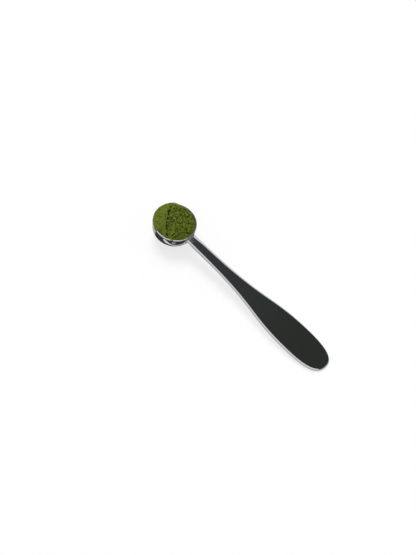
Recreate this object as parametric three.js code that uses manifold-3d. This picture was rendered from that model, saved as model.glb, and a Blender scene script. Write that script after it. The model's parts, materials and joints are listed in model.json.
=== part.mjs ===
// A long-handled measuring spoon for matcha: a deep round scoop drawn from thin steel, a flat polished
// handle welded to the scoop's wall, and one heaped serving of loose powder. Millimetres, +Z up.
// Each piece is drawn about the centre of the scoop's rim, with the handle along +X and the rim level.
// The whole spoon is then tilted so that it lies on its scoop and on the end of its handle.
import * as THREE from 'three';
import { mergeVertices } from 'three/addons/utils/BufferGeometryUtils.js';
import Module from 'manifold-3d';

const wasm = await Module();
wasm.setup();

// Clearance between pieces that touch on the real spoon
const SEAT_GAP = 0.3;

// Scoop: outside diameter, outside depth, height of the straight wall above the round bottom, sheet
const SCOOP_DIAMETER = 30;
const SCOOP_DEPTH = 15.4;
const SCOOP_STRAIGHT_WALL = 4.5;
const SCOOP_SHEET = 0.8;

// Handle blank: reach from the rim's centre, thickness, drop of its top below the rim, rolled edges
const HANDLE_REACH = 142;
const HANDLE_THICKNESS = 1.6;
const HANDLE_DROP = 0.3;
const EDGE_ROLL_WIDTH = 1.5;
const EDGE_ROLL_DEPTH = 0.7;

// Handle outline: neck at the scoop, widest place of the paddle, and how far each curve runs straight on
const NECK_WIDTH = 8;
const PADDLE_WIDTH = 23;
const PADDLE_AT = 115.7;
const NECK_RUN = 70.6;
const FLARE_RUN = 38.2;
const SHOULDER_RUN = 17.6;
const TIP_RUN = 8.8;

// Weld under the handle's root and up its sides: length of its legs in the middle and at both ends
const WELD_LEG = 2;
const WELD_END_LEG = 0.8;
const WELD_BLUNT_ANGLE = THREE.MathUtils.degToRad(18);

// Powder: a pressed slab heaped over the rim on one side, and a lower crumbled side past a crack
const SLAB_CREST = 3;
const SLAB_EDGE = 0.8;
const CRUMB_CREST = 2;
const CRUMB_EDGE = -0.8;
const CRACK_OFFSET = 5.15;
const CRACK_HEADING = THREE.MathUtils.degToRad(38);
const CRACK_SPREAD = 1.2;
const SPILL_HEADING = THREE.MathUtils.degToRad(193);
const SPILL_HALF_SPAN = THREE.MathUtils.degToRad(68);
const SPILL_FADE = THREE.MathUtils.degToRad(18);

// Facets
const ROUND_STEPS = 64;
const BOTTOM_STEPS = 9;
const LIP_STEPS = 4;
const OUTLINE_STEPS = 22;
const EDGE_STEPS = 4;
const WELD_STEPS = 40;
const FILLET_STEPS = 4;
const HEAP_RINGS = 8;
const MERGE_TOLERANCE = 1e-4;

// Passes that settle the resting tilt
const SETTLE_PASSES = 30;

const scoopRadius = SCOOP_DIAMETER / 2;
const bottomHeight = SCOOP_DEPTH - SCOOP_STRAIGHT_WALL;
const lipRadius = SCOOP_SHEET / 2;
const hollowRadius = scoopRadius - SCOOP_SHEET;
const handleBottom = -HANDLE_DROP - HANDLE_THICKNESS;

// Half profile of the scoop's outside grown by a margin, from the bottom on the axis to the top of its
// round bottom
function roundBottom(margin) {
  const across = scoopRadius + margin;
  const down = bottomHeight + margin;
  const arc = new THREE.EllipseCurve(0, -SCOOP_STRAIGHT_WALL, across, down, -Math.PI / 2, 0);
  const points = arc.getPoints(BOTTOM_STEPS);
  points[0].x = 0;
  return points;
}

// Radius of the scoop's outside, grown by a margin, at a height below the rim
function wallRadius(height, margin) {
  const below = Math.max(0, -SCOOP_STRAIGHT_WALL - height) / (bottomHeight + margin);
  return (scoopRadius + margin) * Math.sqrt(1 - below * below);
}

// A lathe about +Z whose half profile may change with the angle
function turned(profileAt) {
  const count = profileAt(0).length;
  const geometry = new THREE.LatheGeometry(profileAt(0), ROUND_STEPS);
  const position = geometry.getAttribute('position');
  for (let step = 0; step <= ROUND_STEPS; step++) {
    const angle = ((step % ROUND_STEPS) / ROUND_STEPS) * 2 * Math.PI;
    profileAt(angle).forEach((point, i) => {
      const x = point.x * Math.cos(angle);
      const y = point.x * Math.sin(angle);
      position.setXYZ(step * count + i, x, y, point.y);
    });
  }
  return geometry;
}

// A closed solid from a geometry whose shared corners are merged and whose empty triangles are left out
function solidOf(geometry) {
  const bare = geometry.clone();
  bare.deleteAttribute('normal');
  bare.deleteAttribute('uv');
  const merged = mergeVertices(bare, MERGE_TOLERANCE);
  const corners = merged.getIndex().array;
  const kept = [];
  for (let i = 0; i < corners.length; i += 3) {
    const [a, b, c] = corners.slice(i, i + 3);
    if (a !== b && b !== c && c !== a) {
      kept.push(a, b, c);
    }
  }
  const vertProperties = Float32Array.from(merged.getAttribute('position').array);
  const triVerts = Uint32Array.from(kept);
  return new wasm.Manifold(new wasm.Mesh({ numProp: 3, vertProperties, triVerts }));
}

// A geometry from a closed solid
function geometryOf(solid) {
  const mesh = solid.getMesh();
  const geometry = new THREE.BufferGeometry();
  geometry.setAttribute('position', new THREE.BufferAttribute(mesh.vertProperties, 3));
  geometry.setIndex(new THREE.BufferAttribute(mesh.triVerts, 1));
  return geometry;
}

// The drawn scoop: outside, rounded lip and inside in one closed half profile
function scoopGeometry() {
  const outside = roundBottom(0);
  const lip = new THREE.EllipseCurve(
    scoopRadius - lipRadius, -lipRadius, lipRadius, lipRadius, 0, Math.PI,
  ).getPoints(LIP_STEPS);
  const inside = roundBottom(-SCOOP_SHEET).reverse();
  const profile = [...outside, ...lip, ...inside];
  return turned(() => profile);
}

// The space that the scoop takes, with its hollow filled, grown by the seat gap
function scoopSeat() {
  const outside = roundBottom(SEAT_GAP);
  const top = SEAT_GAP + HANDLE_DROP;
  const profile = [
    ...outside,
    new THREE.Vector2(scoopRadius + SEAT_GAP, top),
    new THREE.Vector2(0, top),
  ];
  return solidOf(turned(() => profile));
}

// Plan of the handle: a narrow neck that flares into a paddle with a blunt round end
function handleOutline() {
  const neck = NECK_WIDTH / 2;
  const paddle = PADDLE_WIDTH / 2;
  const tip = HANDLE_REACH;
  const shape = new THREE.Shape();
  shape.moveTo(0, -neck);
  shape.lineTo(scoopRadius, -neck);
  shape.bezierCurveTo(scoopRadius + NECK_RUN, -neck, PADDLE_AT - FLARE_RUN, -paddle, PADDLE_AT, -paddle);
  shape.bezierCurveTo(PADDLE_AT + SHOULDER_RUN, -paddle, tip, -TIP_RUN, tip, 0);
  shape.bezierCurveTo(tip, TIP_RUN, PADDLE_AT + SHOULDER_RUN, paddle, PADDLE_AT, paddle);
  shape.bezierCurveTo(PADDLE_AT - FLARE_RUN, paddle, scoopRadius + NECK_RUN, neck, scoopRadius, neck);
  shape.lineTo(0, neck);
  return shape;
}

// The stamped handle with rolled edges, its root cut to the scoop's wall
function handleGeometry() {
  const blank = new THREE.ExtrudeGeometry(handleOutline(), {
    depth: HANDLE_THICKNESS - 2 * EDGE_ROLL_DEPTH,
    bevelEnabled: true,
    bevelThickness: EDGE_ROLL_DEPTH,
    bevelSize: EDGE_ROLL_WIDTH,
    bevelOffset: -EDGE_ROLL_WIDTH,
    bevelSegments: EDGE_STEPS,
    curveSegments: OUTLINE_STEPS,
  });
  blank.translate(0, 0, handleBottom + EDGE_ROLL_DEPTH);
  return geometryOf(solidOf(blank).subtract(scoopSeat()));
}

// Sides and bottom of the handle at its neck, across Y and Z, from the top of one side to the other
function neckSection() {
  const half = NECK_WIDTH / 2;
  const roll = EDGE_ROLL_WIDTH;
  const depth = EDGE_ROLL_DEPTH;
  const top = -HANDLE_DROP - depth;
  const bottom = handleBottom + depth;
  const right = Math.PI / 2;
  const section = new THREE.Path();
  section.moveTo(-half, top);
  section.absellipse(roll - half, bottom, roll, depth, 2 * right, 3 * right);
  section.absellipse(half - roll, bottom, roll, depth, 3 * right, 4 * right);
  section.lineTo(half, top);
  return section;
}

// The weld: a concave fillet swept under the handle's neck and up its sides, lying on the scoop's wall.
// Its legs shorten towards both ends.
function weldGeometry() {
  const section = neckSection();
  const rows = [];
  for (let step = 0; step <= WELD_STEPS; step++) {
    const along = step / WELD_STEPS;
    const at = section.getPointAt(along);
    const heading = section.getTangentAt(along);
    const out = new THREE.Vector2(heading.y, -heading.x);
    const leg = THREE.MathUtils.lerp(WELD_LEG, WELD_END_LEG, Math.abs(2 * along - 1) ** 3);
    rows.push(filletProfile(leg).map((point) => {
      const y = at.x + out.x * point.x;
      const z = at.y + out.y * point.x;
      const wall = wallRadius(z, SEAT_GAP);
      return new THREE.Vector3(Math.sqrt(wall * wall - y * y) + point.y, y, z);
    }));
  }
  return stripOf(rows);
}

// Half section of the weld: distance off the handle against distance off the wall
function filletProfile(leg) {
  const points = [new THREE.Vector2(SEAT_GAP, 0)];
  const sweep = Math.PI / 2 - 2 * WELD_BLUNT_ANGLE;
  const foot = leg * (1 - Math.sin(WELD_BLUNT_ANGLE));
  points.push(new THREE.Vector2(SEAT_GAP + foot, 0));
  for (let i = 0; i <= FILLET_STEPS; i++) {
    const angle = WELD_BLUNT_ANGLE + (i / FILLET_STEPS) * sweep;
    const off = SEAT_GAP + leg * (1 - Math.sin(angle));
    points.push(new THREE.Vector2(off, leg * (1 - Math.cos(angle))));
  }
  points.push(new THREE.Vector2(SEAT_GAP, foot));
  return points;
}

// A closed strip skinned over rows of points and capped at both ends. Each row is one closed section
// whose points can all be seen from its first.
function stripOf(rows) {
  const count = rows[0].length;
  const last = (rows.length - 1) * count;
  const geometry = new THREE.BufferGeometry().setFromPoints(rows.flat());
  const corners = [];
  for (let row = 0; row < last; row += count) {
    for (let i = 0; i < count; i++) {
      const [a, b] = [row + i, row + ((i + 1) % count)];
      const [c, d] = [a + count, b + count];
      corners.push(a, c, b, b, c, d);
    }
  }
  for (let i = 1; i + 1 < count; i++) {
    corners.push(0, i, i + 1, last, last + i + 1, last + i);
  }
  geometry.setIndex(corners);
  return geometry;
}

// The heap's top at a place in the rim's plane, above an edge of a given reach and height
function heapHeight(x, y, reach, edge) {
  const dome = 1 - (x * x + y * y) / (reach * reach);
  const past = x * Math.cos(CRACK_HEADING) + y * Math.sin(CRACK_HEADING) + CRACK_OFFSET;
  const share = THREE.MathUtils.smoothstep(past, -CRACK_SPREAD / 2, CRACK_SPREAD / 2);
  const crest = THREE.MathUtils.lerp(SLAB_CREST, CRUMB_CREST, share);
  return THREE.MathUtils.lerp(edge, crest, dome);
}

// The heaped powder: it fills the scoop, and on one side it first rises past the rim and then spills
// out over it
function powderGeometry() {
  const inner = hollowRadius - SEAT_GAP;
  const bottom = roundBottom(-SCOOP_SHEET - SEAT_GAP);
  return turned((angle) => {
    const off = Math.acos(Math.cos(angle - SPILL_HEADING)) - SPILL_HALF_SPAN;
    const share = 2 - 2 * THREE.MathUtils.smoothstep(off, -SPILL_FADE, SPILL_FADE);
    const rise = Math.min(share, 1);
    const spill = Math.max(share - 1, 0);
    const reach = THREE.MathUtils.lerp(inner, scoopRadius, spill);
    const edge = THREE.MathUtils.lerp(CRUMB_EDGE, SLAB_EDGE, rise);
    const under = THREE.MathUtils.lerp(CRUMB_EDGE - SEAT_GAP, SEAT_GAP, rise);
    const neck = new THREE.Vector2(inner, under - SEAT_GAP * (1 - spill));
    const profile = [...bottom, neck, new THREE.Vector2(reach, under), new THREE.Vector2(reach, edge)];
    for (let ring = HEAP_RINGS - 1; ring >= 0; ring--) {
      const radius = (reach * ring) / HEAP_RINGS;
      const height = heapHeight(radius * Math.cos(angle), radius * Math.sin(angle), reach, edge);
      profile.push(new THREE.Vector2(radius, height));
    }
    return profile;
  });
}

// The tilt at which the scoop's bottom and the handle's end are equally low
function restTilt() {
  let tilt = 0;
  for (let pass = 0; pass < SETTLE_PASSES; pass++) {
    const [sin, cos] = [Math.sin(tilt), Math.cos(tilt)];
    const scoop = -SCOOP_STRAIGHT_WALL * cos - Math.hypot(scoopRadius * sin, bottomHeight * cos);
    const edge = Math.hypot(EDGE_ROLL_WIDTH * sin, EDGE_ROLL_DEPTH * cos);
    const end = (handleBottom + EDGE_ROLL_DEPTH) * cos - (HANDLE_REACH - EDGE_ROLL_WIDTH) * sin - edge;
    tilt += (end - scoop) / HANDLE_REACH;
  }
  return tilt;
}

function piece(name, geometry, finish) {
  const mesh = new THREE.Mesh(geometry, new THREE.MeshStandardMaterial(finish));
  mesh.name = name;
  return mesh;
}

const polishedSteel = { color: 0xc9c8cc, roughness: 0.08, metalness: 1 };
const weldSteel = { color: 0xbdbcc2, roughness: 0.16, metalness: 1 };
const matcha = { color: 0x66772a, roughness: 1, metalness: 0 };

const serving = new THREE.Group();
serving.add(piece('matcha_powder', powderGeometry(), matcha));

const spoon = new THREE.Group();
spoon.add(
  piece('scoop_bowl', scoopGeometry(), polishedSteel),
  piece('handle', handleGeometry(), polishedSteel),
  piece('weld_seam', weldGeometry(), weldSteel),
  serving,
);
spoon.rotation.y = restTilt();

// The origin is on the table, under the middle of the spoon
const lying = new THREE.Box3().setFromObject(spoon, true);
const middle = lying.getCenter(new THREE.Vector3());
spoon.position.set(-middle.x, -middle.y, -lying.min.z);

const part = new THREE.Group();
part.add(spoon);
part.updateMatrixWorld(true);

export default part;
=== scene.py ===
"""Looks of a matcha measuring spoon: polished scoop and handle, weld, heaped powder, studio and camera.

Every piece is drawn about the centre of the scoop's rim, with the handle along +X and the rim level. It is
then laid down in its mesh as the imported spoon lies, so that each object stays at the origin.
"""
import json
import logging
import math
from dataclasses import dataclass
from enum import Enum
from typing import Any, Iterable, NamedTuple

import bmesh
import bpy
import numpy as np
from mathutils import Matrix, Vector, noise
from mathutils.geometry import interpolate_bezier, intersect_point_line


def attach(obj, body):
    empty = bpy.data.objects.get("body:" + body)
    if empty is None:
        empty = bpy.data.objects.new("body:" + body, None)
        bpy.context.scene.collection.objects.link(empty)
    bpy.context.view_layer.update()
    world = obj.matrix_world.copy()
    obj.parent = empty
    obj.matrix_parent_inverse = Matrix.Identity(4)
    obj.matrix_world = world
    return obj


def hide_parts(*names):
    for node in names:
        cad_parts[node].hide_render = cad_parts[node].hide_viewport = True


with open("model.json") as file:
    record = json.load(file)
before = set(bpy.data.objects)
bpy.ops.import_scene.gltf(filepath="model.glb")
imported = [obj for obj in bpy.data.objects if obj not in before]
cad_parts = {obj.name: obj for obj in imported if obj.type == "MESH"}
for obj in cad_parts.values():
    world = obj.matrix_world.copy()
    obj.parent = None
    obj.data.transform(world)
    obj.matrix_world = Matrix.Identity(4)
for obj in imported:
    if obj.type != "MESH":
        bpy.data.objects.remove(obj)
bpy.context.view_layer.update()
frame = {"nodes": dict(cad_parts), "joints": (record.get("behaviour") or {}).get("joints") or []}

LOG = logging.getLogger("spoon")
MM = 0.001
IMAGE_HEIGHT = 555

# Corners closer than this are one corner, and edges folded more than this are drawn sharp
SAME_CORNER = 0.001 * MM
SHARP_FOLD = math.radians(38)

# Attributes of the powder: how much painted shade darkens a place, and how thickly crumbs lie on it
PAINTED_SHADE = "hollow"
LOOSE = "loose"

# Attributes of the glowing pieces that paint reflections on the steel: how far the flag's colour has
# changed, and how opaque the mat is
SHADE = "shade"
COVER = "cover"

# Values of the haze pattern at which polished steel starts to be hazy and is fully so
HAZE_FROM, HAZE_TO = 0.42, 0.72

# Factor that gives clumps side by side unlike heights
CLUMP_SPREAD = 17.3

# Pattern of the lumps on a crumb of radius 1, and the pattern's middle value
LUMP_FINENESS, LUMP_DETAIL = 1.4, 1.0
LUMP_MIDDLE = (0.5, 0.5, 0.5)

Colour = tuple[float, float, float, float]
Faces = list[tuple[int, ...]]
Tree = bpy.types.NodeTree
Node = bpy.types.Node
Socket = bpy.types.NodeSocket
Material = bpy.types.Material
Mesh = bpy.types.Mesh
Piece = bpy.types.Object


class Body(Enum):
    """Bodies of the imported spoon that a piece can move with."""

    SPOON = "spoon"
    SERVING = "serving"


class Ray(Enum):
    """Kinds of ray that a stage piece can be hidden from."""

    CAMERA = "visible_camera"
    DIFFUSE = "visible_diffuse"
    SHADOW = "visible_shadow"


class SocketKind(Enum):
    """Kinds of socket on a node group."""

    GEOMETRY = "NodeSocketGeometry"
    NUMBER = "NodeSocketFloat"
    COUNT = "NodeSocketInt"
    VECTOR = "NodeSocketVector"
    MATERIAL = "NodeSocketMaterial"


def lerp(low: float, high: float, share: float) -> float:
    """The value that lies at a share of the way from low to high."""
    return low + (high - low) * share


def fade(value: float, start: float, end: float) -> float:
    """A smooth step from 0 at start to 1 at end."""
    share = min(1.0, max(0.0, (value - start) / (end - start)))
    return share * share * (3 - 2 * share)


def turn_between(first: float, second: float) -> float:
    """The smallest turn between two headings, in radians, never negative."""
    return abs((first - second + math.pi) % (2 * math.pi) - math.pi)


def grey(value: float) -> Colour:
    """An opaque grey."""
    return (value, value, value, 1.0)


@dataclass(frozen=True)
class Seat:
    """How the spoon lies in the frame.

    Attributes:
        centre: Centre of the scoop's rim.
        tilt: Turn of the rim about +Y, in radians.
    """

    centre: Vector
    tilt: float

    @classmethod
    def of_packed_scoop(cls) -> "Seat":
        """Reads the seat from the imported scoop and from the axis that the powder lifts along.

        Returns:
            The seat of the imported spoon.
        """
        axis = np.array(frame["joints"][0]["axis"])
        corners = np.array([corner.co for corner in frame["nodes"]["scoop_bowl"].data.vertices])
        heights = corners @ axis
        ring = corners[heights > heights.max() - SAME_CORNER]
        centre = (ring.min(axis=0) + ring.max(axis=0)) / 2
        return cls(Vector(centre), math.atan2(axis[0], axis[2]))

    def matrix(self) -> Matrix:
        """From axes at the rim's centre to the frame's own."""
        return Matrix.Translation(self.centre) @ Matrix.Rotation(self.tilt, 4, "Y")


def plain_mesh(name: str, corners: Iterable[Iterable[float]], faces: Faces) -> Mesh:
    """Makes a mesh of corners and faces.

    Args:
        name: Name of the mesh.
        corners: Its corners.
        faces: Corner numbers of each face.

    Returns:
        The mesh.
    """
    mesh = bpy.data.meshes.new(name)
    mesh.from_pydata([tuple(corner) for corner in corners], [], faces)
    return mesh


def closed_mesh(name: str, rings: list[list[Any]], faces: Faces) -> Mesh:
    """Makes a closed smooth mesh whose faces point outwards.

    Args:
        name: Name of the mesh.
        rings: Corners of each ring, which may coincide at poles and seams.
        faces: Corner numbers of each face, counted ring by ring.

    Returns:
        The mesh, with coinciding corners merged.
    """
    mesh = plain_mesh(name, [corner for ring in rings for corner in ring], faces)
    tidy_mesh(mesh)
    return mesh


def tidy_mesh(mesh: Mesh) -> None:
    """Merges coinciding corners, turns faces outwards and sets smooth and sharp edges.

    Args:
        mesh: Mesh to tidy in place.
    """
    work = bmesh.new()
    work.from_mesh(mesh)
    bmesh.ops.remove_doubles(work, verts=work.verts, dist=SAME_CORNER)
    bmesh.ops.recalc_face_normals(work, faces=work.faces)
    for face in work.faces:
        face.smooth = True
    for edge in work.edges:
        edge.smooth = edge.calc_face_angle(0.0) < SHARP_FOLD
    work.to_mesh(mesh)
    work.free()


def store(mesh: Mesh, name: str, values: Any) -> None:
    """Stores a value for each corner of a mesh, as a named attribute."""
    layer = mesh.attributes.new(name, "FLOAT", "POINT")
    layer.data.foreach_set("value", np.asarray(values, dtype=np.float32).ravel())


def grid_faces(rows: int, count: int, rows_close: bool = False, steps_close: bool = False) -> Faces:
    """Quads that skin rows of corners.

    Args:
        rows: Number of rows.
        count: Corners in each row.
        rows_close: Whether the last row joins the first.
        steps_close: Whether the last corner of each row joins its first.

    Returns:
        The faces, for corners numbered row by row.
    """
    faces = []
    for row in range(rows if rows_close else rows - 1):
        after = (row + 1) % rows
        for step in range(count if steps_close else count - 1):
            beside = (step + 1) % count
            faces.append((
                row * count + step, row * count + beside, after * count + beside, after * count + step,
            ))
    return faces


def put_in_scene(name: str, data: Any) -> Piece:
    """Makes an object and links it into the scene.

    Args:
        name: Name of the object.
        data: Its mesh, lamp or lens.

    Returns:
        The new object.
    """
    thing = bpy.data.objects.new(name, data)
    bpy.context.scene.collection.objects.link(thing)
    return thing


def add_piece(mesh: Mesh, material: Material, body: Body, node: str | None = None) -> Piece:
    """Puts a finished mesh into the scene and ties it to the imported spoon.

    Args:
        mesh: Mesh whose corners are in the frame's axes. The piece takes its name.
        material: Finish of the piece.
        body: Body that the piece moves with.
        node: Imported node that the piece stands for, if any.

    Returns:
        The new piece.
    """
    piece = put_in_scene(mesh.name, mesh)
    mesh.materials.clear()
    mesh.materials.append(material)
    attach(piece, body.value)
    if node is not None:
        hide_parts(node)
    return piece


def add_node(tree: Tree, kind: str, inputs: dict[str | int, Any] | None = None, **settings: Any) -> Node:
    """Adds a node, with its inputs either wired or set.

    Args:
        tree: Tree that the node goes into.
        kind: Blender's name of the node's type.
        inputs: A socket to wire or a value to set, by input name or number.
        **settings: Properties of the node itself.

    Returns:
        The new node.
    """
    node = tree.nodes.new(kind)
    for key, value in settings.items():
        setattr(node, key, value)
    for key, value in (inputs or {}).items():
        if isinstance(value, Socket):
            tree.links.new(value, node.inputs[key])
        else:
            node.inputs[key].default_value = value
    return node


def maths(tree: Tree, operation: str, *values: Any) -> Socket:
    """The result of a Math node on wired or fixed values."""
    return add_node(tree, "ShaderNodeMath", dict(enumerate(values)), operation=operation).outputs[0]


def stored(tree: Tree, name: str) -> Socket:
    """The value that a mesh's attribute has at a place."""
    return add_node(tree, "ShaderNodeAttribute", attribute_name=name).outputs["Fac"]


def glowing(tree: Tree, colour: Any) -> Node:
    """A shader that shows a colour as it is, whatever the light."""
    return add_node(tree, "ShaderNodeEmission", {"Color": colour, "Strength": 1.0})


def mixed(tree: Tree, share: Socket, first: Node, second: Node) -> Node:
    """A shader that turns from the first into the second as the share grows."""
    return add_node(tree, "ShaderNodeMixShader", {0: share, 1: first.outputs[0], 2: second.outputs[0]})


def ramp(tree: Tree, share: Socket, stops: dict[float, Colour]) -> Socket:
    """A colour that follows a value along a ramp.

    Args:
        tree: Tree that the ramp goes into.
        share: Value that picks the colour.
        stops: Colour at each position.

    Returns:
        The ramp's colour socket.
    """
    node = add_node(tree, "ShaderNodeValToRGB", {"Fac": share})
    elements = node.color_ramp.elements
    while len(elements) < len(stops):
        elements.new(1.0)
    for element, (position, colour) in zip(elements, sorted(stops.items())):
        element.position = position
        element.color = colour
    return node.outputs["Color"]


def blank_material(name: str) -> tuple[Material, Tree]:
    """Starts a material.

    Args:
        name: Name of the material.

    Returns:
        The material, and its node tree, which is empty.
    """
    material = bpy.data.materials.new(name)
    material.use_nodes = True
    material.node_tree.nodes.clear()
    return material, material.node_tree


def surface_output(tree: Tree, shader: Node) -> None:
    """Wires a shader to the material's output."""
    add_node(tree, "ShaderNodeOutputMaterial", {"Surface": shader.outputs[0]})


def node_group(
    name: str, kind: str, inputs: dict[str, SocketKind], outputs: dict[str, SocketKind],
) -> Tree:
    """Starts a node group.

    Args:
        name: Name of the group.
        kind: Blender's name of the group's type.
        inputs: Kind of each named input.
        outputs: Kind of each named output.

    Returns:
        The group, with its sockets.
    """
    tree = bpy.data.node_groups.new(name, kind)
    for way, sockets in (("INPUT", inputs), ("OUTPUT", outputs)):
        for label, socket in sockets.items():
            tree.interface.new_socket(label, in_out=way, socket_type=socket.value)
    return tree


@dataclass(frozen=True)
class Speckle:
    """An uneven pattern of blots.

    Attributes:
        fineness: How fine the blots are, as a fixed value or a socket.
        detail: How often they are broken up into finer ones.
        harshness: Strength of the finer blots, as a share of the coarser.
    """

    fineness: Any
    detail: float
    harshness: float = 0.5

    def value(self, tree: Tree, place: Socket) -> Socket:
        """The pattern's value at a place.

        Args:
            tree: Tree that it goes into.
            place: Coordinates that it follows.

        Returns:
            A value from 0 to 1.
        """
        return add_node(tree, "ShaderNodeTexNoise", {
            "Vector": place, "Scale": self.fineness, "Detail": self.detail, "Roughness": self.harshness,
        }).outputs["Fac"]


def polish_group() -> Tree:
    """The marks that polishing leaves on steel: fine lines along a grain, and a broad faint haze.

    Returns:
        The shader group, made once and then shared.
    """
    name = "polish_marks"
    if name in bpy.data.node_groups:
        return bpy.data.node_groups[name]
    levels = ("Line Fineness", "Haze Fineness", "Smoothest", "Line Roughness", "Haze Roughness")
    tree = node_group(name, "ShaderNodeTree", {
        "Grain": SocketKind.VECTOR, "Place": SocketKind.VECTOR, **dict.fromkeys(levels, SocketKind.NUMBER),
    }, {"Roughness": SocketKind.NUMBER, "Height": SocketKind.NUMBER})
    given = add_node(tree, "NodeGroupInput").outputs
    lines = Speckle(given["Line Fineness"], detail=3.0, harshness=0.65).value(tree, given["Grain"])
    haze = Speckle(given["Haze Fineness"], detail=2.0).value(tree, given["Place"])
    clouds = add_node(
        tree, "ShaderNodeMapRange", {"Value": haze, "From Min": HAZE_FROM, "From Max": HAZE_TO},
    )
    scratched = maths(tree, "MULTIPLY_ADD", lines, given["Line Roughness"], given["Smoothest"])
    hazed = maths(tree, "MULTIPLY_ADD", clouds.outputs["Result"], given["Haze Roughness"], scratched)
    add_node(tree, "NodeGroupOutput", {"Roughness": hazed, "Height": lines})
    return tree


class Grain(Enum):
    """Way that a steel piece was polished: stretch of the pattern along X, Y and Z."""

    LENGTHWISE = (0.02, 1.0, 1.0)
    ROUND = (1.0, 1.0, 1.0)
    ACROSS = (1.0, 0.25, 0.25)


@dataclass(frozen=True)
class SteelFinish:
    """Polished stainless steel.

    Attributes:
        name: Name of the material.
        colour: Colour of the metal's reflections.
        grain: Way that it was polished.
        smoothest: Least roughness.
        line_roughness: Roughness that polishing lines add.
        haze_roughness: Roughness that handling haze adds.
        line_depth: Height of the polishing lines.
        line_fineness: How fine the polishing lines are.
        haze_fineness: How fine the blots of the haze are.
    """

    name: str
    colour: Colour
    grain: Grain
    smoothest: float
    line_roughness: float
    haze_roughness: float
    line_depth: float
    line_fineness: float = 2600.0
    haze_fineness: float = 90.0

    def material(self, seat: Seat) -> Material:
        """Builds the material.

        Args:
            seat: Where the spoon lies, so that the grain follows the piece.

        Returns:
            The material.
        """
        material, tree = blank_material(self.name)
        place = add_node(tree, "ShaderNodeTexCoord").outputs["Object"]
        local = add_node(
            tree, "ShaderNodeMapping",
            {"Vector": place, "Location": seat.centre, "Rotation": (0.0, seat.tilt, 0.0)},
            vector_type="TEXTURE",
        ).outputs["Vector"]
        marks = add_node(tree, "ShaderNodeGroup", {
            "Grain": self.grain_vector(tree, local), "Place": local,
            "Line Fineness": self.line_fineness, "Haze Fineness": self.haze_fineness,
            "Smoothest": self.smoothest, "Line Roughness": self.line_roughness,
            "Haze Roughness": self.haze_roughness,
        }, node_tree=polish_group())
        bump = add_node(
            tree, "ShaderNodeBump",
            {"Height": marks.outputs["Height"], "Distance": self.line_depth, "Strength": 1.0},
        )
        steel = add_node(tree, "ShaderNodeBsdfPrincipled", {
            "Base Color": self.colour, "Metallic": 1.0,
            "Roughness": marks.outputs["Roughness"], "Normal": bump.outputs["Normal"],
        })
        surface_output(tree, steel)
        return material

    def grain_vector(self, tree: Tree, local: Socket) -> Socket:
        """Coordinates that run slowly along the polishing lines.

        Args:
            tree: The material's tree.
            local: Coordinates about the rim's centre.

        Returns:
            The stretched coordinates.
        """
        if self.grain is Grain.ROUND:
            parts = add_node(tree, "ShaderNodeSeparateXYZ", {0: local}).outputs
            reach = maths(tree, "POWER", maths(
                tree, "ADD", maths(tree, "MULTIPLY", parts[0], parts[0]),
                maths(tree, "MULTIPLY", parts[1], parts[1]),
            ), 0.5)
            return add_node(tree, "ShaderNodeCombineXYZ", {0: reach, 2: parts[2]}).outputs[0]
        return add_node(
            tree, "ShaderNodeMapping", {"Vector": local, "Scale": self.grain.value},
        ).outputs["Vector"]


@dataclass(frozen=True)
class PowderFinish:
    """Finely milled green tea: matt and mottled, with painted shade in its cracks and gaps.

    Attributes:
        name: Name of the material.
        shade: Darkest colour of the mottling.
        leaf: Main colour.
        light: Lightest colour of the mottling.
        hollow: Colour of the painted shade in cracks and gaps.
        tones: Values of the mottling at which the first three colours lie.
        mottling: Pattern of the mottling.
        milling: Pattern of the single grains.
        grain_height: Height of the grains.
        smoothest: Least roughness.
        gloss: Strength of its faint gloss.
    """

    name: str = "milled_matcha"
    shade: Colour = (0.082, 0.109, 0.0115, 1.0)
    leaf: Colour = (0.134, 0.177, 0.019, 1.0)
    light: Colour = (0.193, 0.252, 0.031, 1.0)
    hollow: Colour = (0.022, 0.028, 0.006, 1.0)
    tones: tuple[float, float, float] = (0.32, 0.5, 0.7)
    mottling: Speckle = Speckle(620.0, detail=4.0, harshness=0.62)
    milling: Speckle = Speckle(3800.0, detail=3.0, harshness=0.7)
    grain_height: float = 0.16 * MM
    smoothest: float = 0.86
    gloss: float = 0.18

    def material(self) -> Material:
        """Builds the material.

        Returns:
            The material, which reads the attribute that says how much painted shade darkens a place.
        """
        material, tree = blank_material(self.name)
        place = add_node(tree, "ShaderNodeTexCoord").outputs["Object"]
        stops = dict(zip(self.tones, (self.shade, self.leaf, self.light)))
        mottled = ramp(tree, self.mottling.value(tree, place), stops)
        # Painted shade: a dark colour mixed into the mottling in cracks, gaps and flake borders, and evenly
        # over the pressed side
        colour = add_node(
            tree, "ShaderNodeMix", {0: stored(tree, PAINTED_SHADE), 6: mottled, 7: self.hollow}, data_type="RGBA",
        )
        milled = self.milling.value(tree, place)
        bump = add_node(
            tree, "ShaderNodeBump", {"Height": milled, "Distance": self.grain_height, "Strength": 1.0},
        )
        roughness = add_node(
            tree, "ShaderNodeMapRange", {"Value": milled, "To Min": self.smoothest, "To Max": 1.0},
        ).outputs["Result"]
        powder = add_node(tree, "ShaderNodeBsdfPrincipled", {
            "Base Color": colour.outputs[2], "Roughness": roughness, "Normal": bump.outputs["Normal"],
            "Specular IOR Level": self.gloss,
        })
        surface_output(tree, powder)
        return material


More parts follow.
